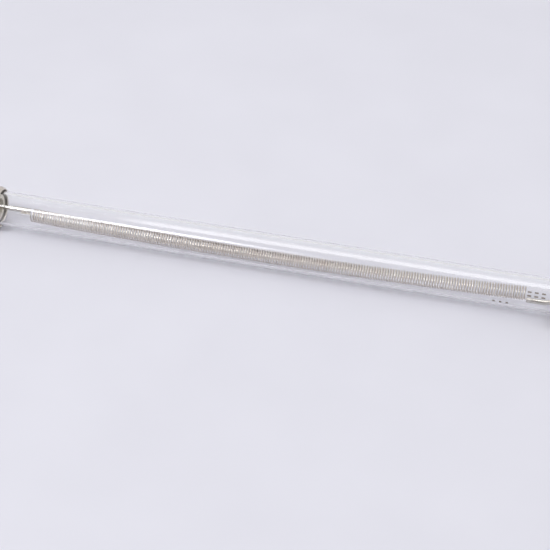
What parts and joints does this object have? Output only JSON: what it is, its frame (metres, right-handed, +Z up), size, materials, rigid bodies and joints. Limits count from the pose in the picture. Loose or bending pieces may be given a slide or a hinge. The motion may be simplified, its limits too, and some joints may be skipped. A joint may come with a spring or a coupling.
{
  "type": "quartz heating lamp tube",
  "caption": "Clear quartz tube with a spiral resistance wire inside, a metal cap on each end and threaded terminals.",
  "frame": {"origin": "on the surface that the lamp lies on, below the middle of its axis", "axes": "+X along the tube towards the right cap, +Z up"},
  "size_m": [0.2502, 0.0148, 0.0148],
  "materials": {
    "quartz": "clear, drawn and fire-polished",
    "resistance_wire": "bright drawn wire",
    "lead_rod": "bright drawn rod",
    "end_cap": "polished nickel plate",
    "bush": "unglazed steatite",
    "terminal": "zinc plate"
  },
  "bodies": {
    "root": {"quartz_tube": "quartz", "heating_coil": "resistance_wire", "left_lead_rod": "lead_rod", "right_lead_rod": "lead_rod", "left_end_cap": "end_cap", "right_end_cap": "end_cap", "left_bush": "bush", "right_bush": "bush", "left_stud": "terminal", "right_stud": "terminal", "left_washer": "terminal", "right_washer": "terminal", "left_clamp_nut": "terminal", "right_clamp_nut": "terminal", "left_outer_nut": "terminal", "right_outer_nut": "terminal"}
  },
  "joints": []
}
